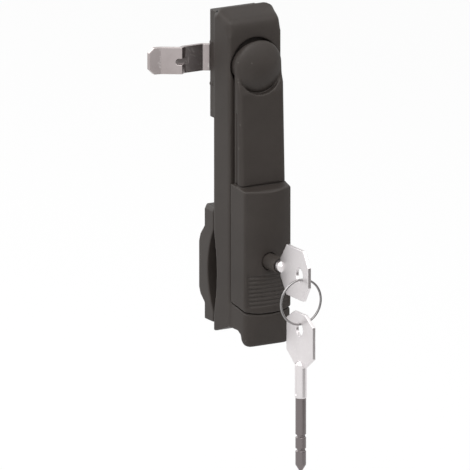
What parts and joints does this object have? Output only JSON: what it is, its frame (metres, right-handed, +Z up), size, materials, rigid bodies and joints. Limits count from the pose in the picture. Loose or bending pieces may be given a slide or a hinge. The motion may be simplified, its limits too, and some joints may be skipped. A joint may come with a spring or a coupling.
{
  "type": "enclosure door swing handle",
  "caption": "Lift-and-turn swing handle for an enclosure door, with a key lock in the grip, a bent cam behind the door, a rear clamp bracket and keys on a ring.",
  "frame": {"origin": "on the spindle axis, in the plane of the door's outer face", "axes": "+Z up along the handle, the handle faces -Y, +Y points into the cabinet, the cam points to -X"},
  "size_m": [0.0578, 0.0878, 0.2188],
  "materials": {
    "plastic": "fine-textured satin charcoal moulding",
    "dark_plastic": "smooth satin black",
    "rubber": "matt black",
    "steel": "zinc-plated, satin",
    "cast_zinc": "die-cast, satin",
    "key_steel": "nickel-plated, polished",
    "brass": "turned"
  },
  "bodies": {
    "housing": {"casing": "plastic", "boss_gasket": "rubber", "spindle_bush": "dark_plastic", "spindle_seal": "rubber", "boss_cover": "dark_plastic", "cover_screws": "steel", "clamp_bracket": "plastic", "clamp_inserts": "brass", "clamp_screws": "steel"},
    "spindle": {"spindle": "cast_zinc", "stop_disc": "steel", "cam": "steel", "cam_washer": "steel", "cam_screw": "steel"},
    "lever": {"lever": "plastic", "hinge_pin": "steel", "lock_case": "cast_zinc", "lock_nut": "steel", "bolt_strap": "steel", "strap_screws": "steel"},
    "plug": {"lock_plug": "plastic"},
    "bolt": {"lock_bolt": "steel"},
    "key": {"inserted_key": "key_steel"},
    "ring": {"key_ring": "key_steel"},
    "spare": {"spare_key": "key_steel"}
  },
  "joints": [
    {"name": "spindle_turn", "type": "hinge", "parent": "housing", "child": "spindle", "pos_m": [0, 0, 0], "axis": [0, -1, 0], "range_deg": [0, 90]},
    {"name": "lever_lift", "type": "hinge", "parent": "spindle", "child": "lever", "pos_m": [0, -0.0145, 0], "axis": [-1, 0, 0], "range_deg": [0, 20]},
    {"name": "plug_turn", "type": "hinge", "parent": "lever", "child": "plug", "pos_m": [0, -0.0265, -0.0948], "axis": [0, -1, 0], "range_deg": [0, 90]},
    {"name": "bolt_slide", "type": "slide", "parent": "lever", "child": "bolt", "axis": [0, 0, -1], "range_m": [0, 0.0045]},
    {"name": "key_pull", "type": "slide", "parent": "plug", "child": "key", "axis": [0, -1, 0], "range_m": [0, 0.02]},
    {"name": "ring_swing", "type": "hinge", "parent": "key", "child": "ring", "pos_m": [0, -0.05623, -0.09725], "axis": [-1, 0, 0], "range_deg": [-12, 35]},
    {"name": "spare_swing", "type": "hinge", "parent": "ring", "child": "spare", "pos_m": [0, -0.05623, -0.11935], "axis": [-1, 0, 0], "range_deg": [-12, 30]}
  ],
  "couplings": [
    {"joint": "bolt_slide", "follows": "plug_turn", "m_per_rad": 0.00286}
  ]
}
